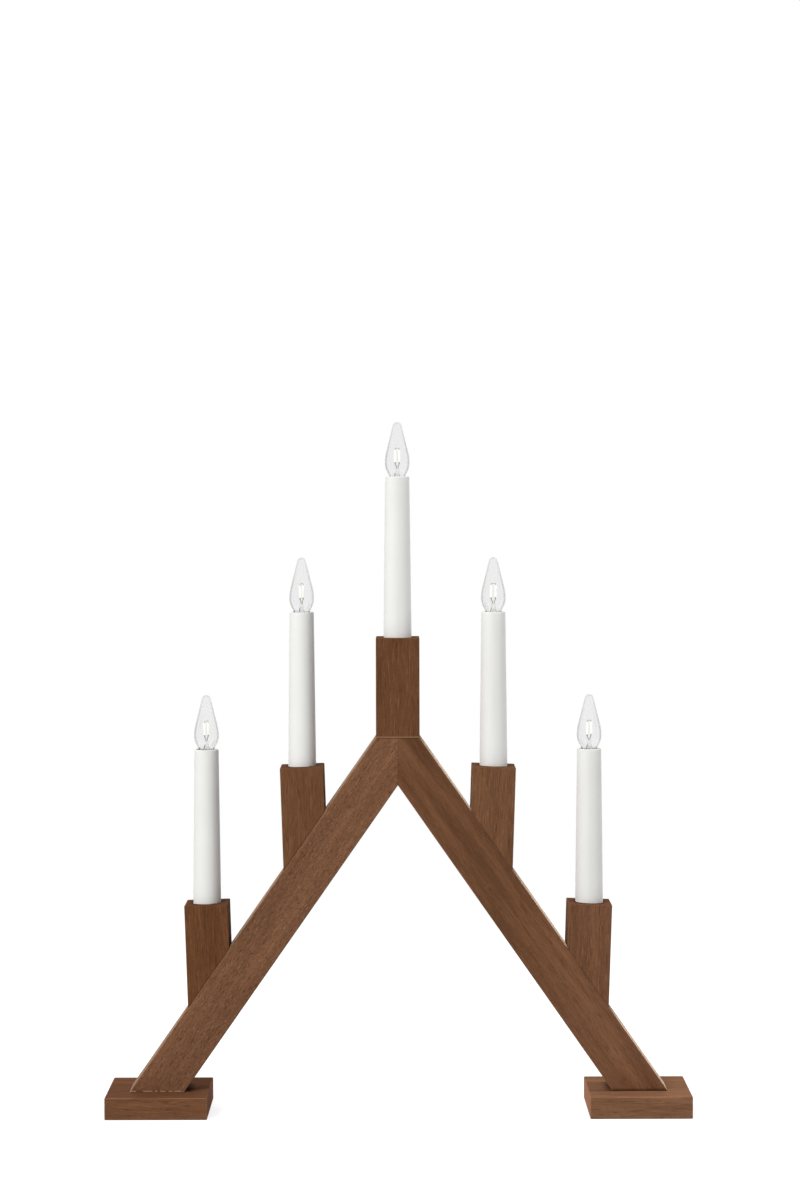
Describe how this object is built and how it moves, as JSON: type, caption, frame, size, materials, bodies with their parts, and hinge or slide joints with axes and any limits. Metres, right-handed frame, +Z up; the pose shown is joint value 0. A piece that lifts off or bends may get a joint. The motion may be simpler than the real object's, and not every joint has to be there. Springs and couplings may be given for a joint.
{
  "type": "electric candle arch",
  "caption": "Stained wooden A-frame candle arch on two square feet, with posts that hold tapered white candle tubes and clear flame-shaped screw-in lamps.",
  "frame": {"origin": "centre of the bounding box's bottom face, on the table midway between the feet", "axes": "+Z up along the centre candle, +X to the right across the arch, +Y from front to back"},
  "size_m": [0.3556, 0.062, 0.4214],
  "materials": {
    "stained_wood": "brown stain, matt",
    "dowel_wood": "bare beech",
    "screw_steel": "zinc plated",
    "candle_plastic": "matt white",
    "holder_plastic": "moulded, off-white",
    "socket_brass": "drawn sheet",
    "cap_brass": "rolled thread",
    "black_glass": "glossy, with a solder tip",
    "lamp_glass": "clear",
    "light_bar": "coated, unlit",
    "lamp_wire": "plain wire"
  },
  "bodies": {
    "arch": {"foot_left": "stained_wood", "foot_right": "stained_wood", "beam_left": "stained_wood", "beam_right": "stained_wood", "post_centre": "stained_wood", "post_upper_left": "stained_wood", "post_lower_left": "stained_wood", "post_upper_right": "stained_wood", "post_lower_right": "stained_wood", "dowels": "dowel_wood", "foot_screws": "screw_steel", "centre_contacts": "socket_brass", "candle_tube_centre": "candle_plastic", "lampholder_centre": "holder_plastic", "socket_shell_centre": "socket_brass", "candle_tube_upper_left": "candle_plastic", "lampholder_upper_left": "holder_plastic", "socket_shell_upper_left": "socket_brass", "candle_tube_lower_left": "candle_plastic", "lampholder_lower_left": "holder_plastic", "socket_shell_lower_left": "socket_brass", "candle_tube_upper_right": "candle_plastic", "lampholder_upper_right": "holder_plastic", "socket_shell_upper_right": "socket_brass", "candle_tube_lower_right": "candle_plastic", "lampholder_lower_right": "holder_plastic", "socket_shell_lower_right": "socket_brass"},
    "lamp_centre": {"lamp_glass_centre": "lamp_glass", "lamp_stem_centre": "lamp_glass", "lamp_bars_centre": "light_bar", "lamp_wires_centre": "lamp_wire", "lamp_cap_centre": "cap_brass", "lamp_base_centre": "black_glass"},
    "lamp_upper_left": {"lamp_glass_upper_left": "lamp_glass", "lamp_stem_upper_left": "lamp_glass", "lamp_bars_upper_left": "light_bar", "lamp_wires_upper_left": "lamp_wire", "lamp_cap_upper_left": "cap_brass", "lamp_base_upper_left": "black_glass"},
    "lamp_lower_left": {"lamp_glass_lower_left": "lamp_glass", "lamp_stem_lower_left": "lamp_glass", "lamp_bars_lower_left": "light_bar", "lamp_wires_lower_left": "lamp_wire", "lamp_cap_lower_left": "cap_brass", "lamp_base_lower_left": "black_glass"},
    "lamp_upper_right": {"lamp_glass_upper_right": "lamp_glass", "lamp_stem_upper_right": "lamp_glass", "lamp_bars_upper_right": "light_bar", "lamp_wires_upper_right": "lamp_wire", "lamp_cap_upper_right": "cap_brass", "lamp_base_upper_right": "black_glass"},
    "lamp_lower_right": {"lamp_glass_lower_right": "lamp_glass", "lamp_stem_lower_right": "lamp_glass", "lamp_bars_lower_right": "light_bar", "lamp_wires_lower_right": "lamp_wire", "lamp_cap_lower_right": "cap_brass", "lamp_base_lower_right": "black_glass"}
  },
  "joints": [
    {"name": "unscrew_centre", "type": "slide", "parent": "arch", "child": "lamp_centre", "axis": [0, 0, 1], "range_m": [0, 0.018]},
    {"name": "unscrew_upper_left", "type": "slide", "parent": "arch", "child": "lamp_upper_left", "axis": [0, 0, 1], "range_m": [0, 0.018]},
    {"name": "unscrew_lower_left", "type": "slide", "parent": "arch", "child": "lamp_lower_left", "axis": [0, 0, 1], "range_m": [0, 0.018]},
    {"name": "unscrew_upper_right", "type": "slide", "parent": "arch", "child": "lamp_upper_right", "axis": [0, 0, 1], "range_m": [0, 0.018]},
    {"name": "unscrew_lower_right", "type": "slide", "parent": "arch", "child": "lamp_lower_right", "axis": [0, 0, 1], "range_m": [0, 0.018]}
  ]
}
